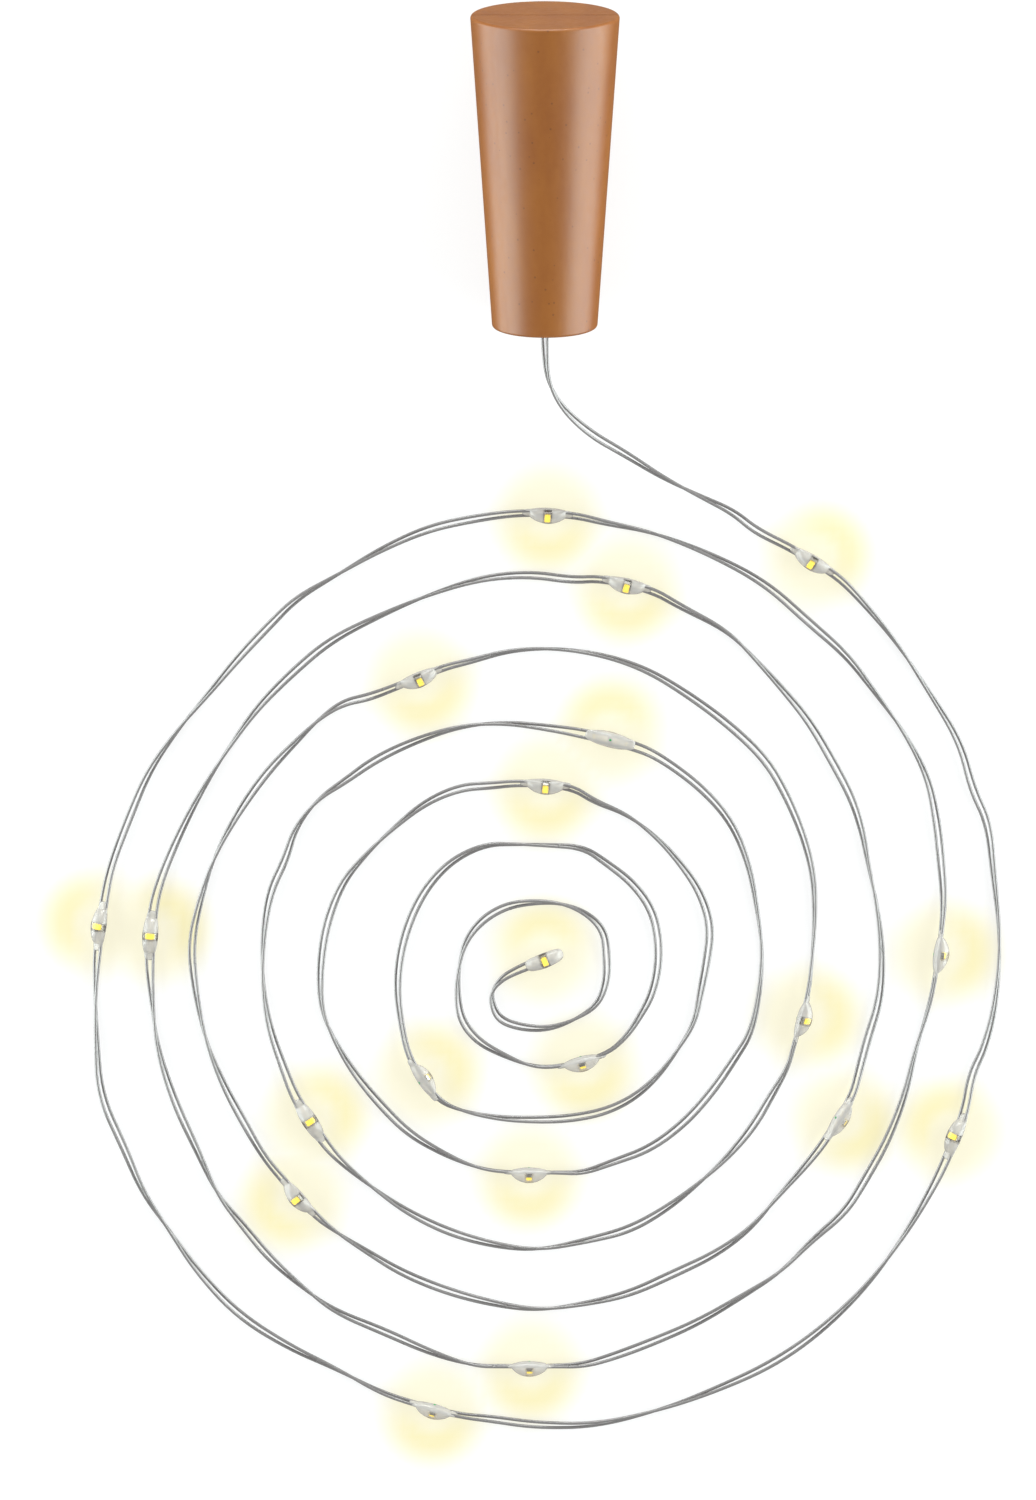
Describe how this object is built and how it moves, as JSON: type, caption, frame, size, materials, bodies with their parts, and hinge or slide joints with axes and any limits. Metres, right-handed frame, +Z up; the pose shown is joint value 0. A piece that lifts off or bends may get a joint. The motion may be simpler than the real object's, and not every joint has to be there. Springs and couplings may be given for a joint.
{
  "type": "cork bottle light",
  "caption": "Tapered cork-shaped bottle stopper with battery tray, sliding switch and a long twin-wire string of drop lights in a flat spiral.",
  "frame": {"origin": "on the floor below the middle of the stopper, which lies on its side", "axes": "+Z up, +Y towards the stopper's wide end, +X to the right seen from above with the wide end away"},
  "size_m": [0.1435, 0.2285, 0.0229],
  "materials": {
    "cork_plastic": "satin",
    "tray_plastic": "matte",
    "nickel_steel": "plated",
    "cell_steel": "polished",
    "cell_gasket": "matte",
    "circuit_laminate": "satin",
    "resistor_ceramic": "satin",
    "solder": "bright",
    "phenolic": "matte",
    "contact_brass": "plain",
    "black_plastic": "satin",
    "red_insulation": "satin",
    "black_insulation": "satin",
    "enamelled_wire": "clear enamel",
    "clear_rubber": "satin",
    "clear_epoxy": "clear gloss",
    "yellow_phosphor": "lit"
  },
  "bodies": {
    "stopper": {"rear_shell": "cork_plastic", "battery_tray": "tray_plastic", "negative_contact": "nickel_steel", "positive_contact": "nickel_steel", "negative_spring": "nickel_steel", "switch_frame": "nickel_steel", "tray_screw_left": "nickel_steel", "tray_screw_right": "nickel_steel", "cell_can_1": "cell_steel", "cell_can_2": "cell_steel", "cell_can_3": "cell_steel", "cell_cap_1": "cell_steel", "cell_cap_2": "cell_steel", "cell_cap_3": "cell_steel", "cell_seal_1": "cell_gasket", "cell_seal_2": "cell_gasket", "cell_seal_3": "cell_gasket", "circuit_board": "circuit_laminate", "board_resistor": "resistor_ceramic", "solder_joints": "solder", "switch_wafer": "phenolic", "switch_pins": "contact_brass", "red_lead": "red_insulation", "positive_lead": "red_insulation", "black_lead": "black_insulation", "string_leads": "enamelled_wire", "lead_in_strand_a": "enamelled_wire", "lead_in_strand_b": "enamelled_wire", "spiral_strand_a": "enamelled_wire", "spiral_strand_b": "enamelled_wire", "exit_grommet": "clear_rubber", "led_drop_01": "clear_epoxy", "led_drop_02": "clear_epoxy", "led_drop_03": "clear_epoxy", "led_drop_04": "clear_epoxy", "led_drop_05": "clear_epoxy", "led_drop_06": "clear_epoxy", "led_drop_07": "clear_epoxy", "led_drop_08": "clear_epoxy", "led_drop_09": "clear_epoxy", "led_drop_10": "clear_epoxy", "led_drop_11": "clear_epoxy", "led_drop_12": "clear_epoxy", "led_drop_13": "clear_epoxy", "led_drop_14": "clear_epoxy", "led_drop_15": "clear_epoxy", "led_drop_16": "clear_epoxy", "led_drop_17": "clear_epoxy", "led_drop_18": "clear_epoxy", "led_drop_19": "clear_epoxy", "led_drop_20": "clear_epoxy", "led_chips": "yellow_phosphor"},
    "cover": {"front_cover": "cork_plastic"},
    "switch_knob": {"switch_slider": "black_plastic", "switch_wiper": "contact_brass"}
  },
  "joints": [
    {"name": "cover_lift", "type": "slide", "parent": "stopper", "child": "cover", "axis": [0, -0.0682, 0.9977], "range_m": [0, 0.02]},
    {"name": "switch_slide", "type": "slide", "parent": "stopper", "child": "switch_knob", "axis": [0, 0.9977, 0.0682], "range_m": [0, 0.002]}
  ]
}
